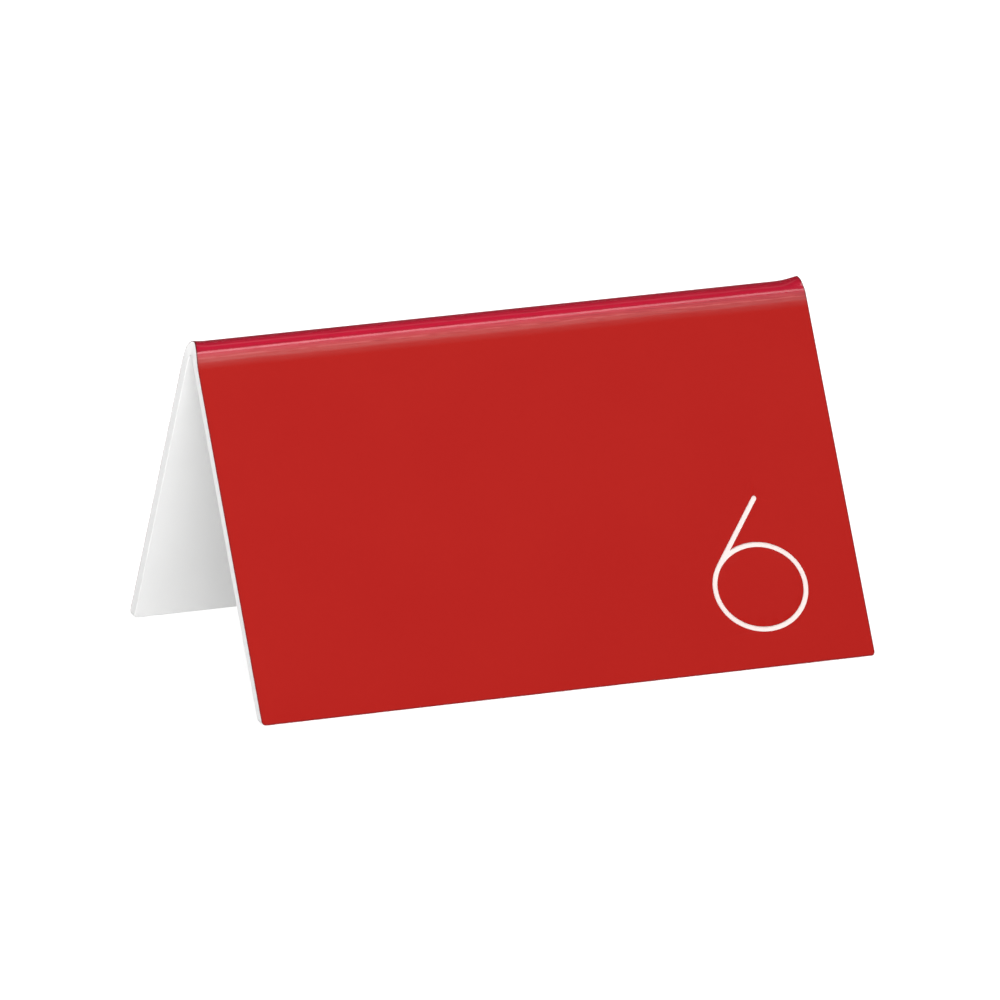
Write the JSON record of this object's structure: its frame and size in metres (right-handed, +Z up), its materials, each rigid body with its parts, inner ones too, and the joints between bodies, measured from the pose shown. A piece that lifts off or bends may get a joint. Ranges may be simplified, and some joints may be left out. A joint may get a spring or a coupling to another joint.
{
  "type": "table number sign",
  "caption": "Tent-shaped table number bent from laminate engraving sheet: a red face over a white core, with the numeral engraved through the face, open underneath and at both ends.",
  "frame": {"origin": "middle of the footprint, on the table", "axes": "+X along the fold, towards the end the numeral is near, -Y the front, +Z up"},
  "size_m": [0.1, 0.0634, 0.0527],
  "materials": {
    "core_white": "satin white ABS core, fine cutter marks in the grooves",
    "cap_red": "matt red cap, glossed and slightly darker where the fold was heated"
  },
  "bodies": {
    "root": {"white_core": "core_white", "red_cap": "cap_red", "front_counter": "cap_red", "back_counter": "cap_red"}
  },
  "joints": []
}
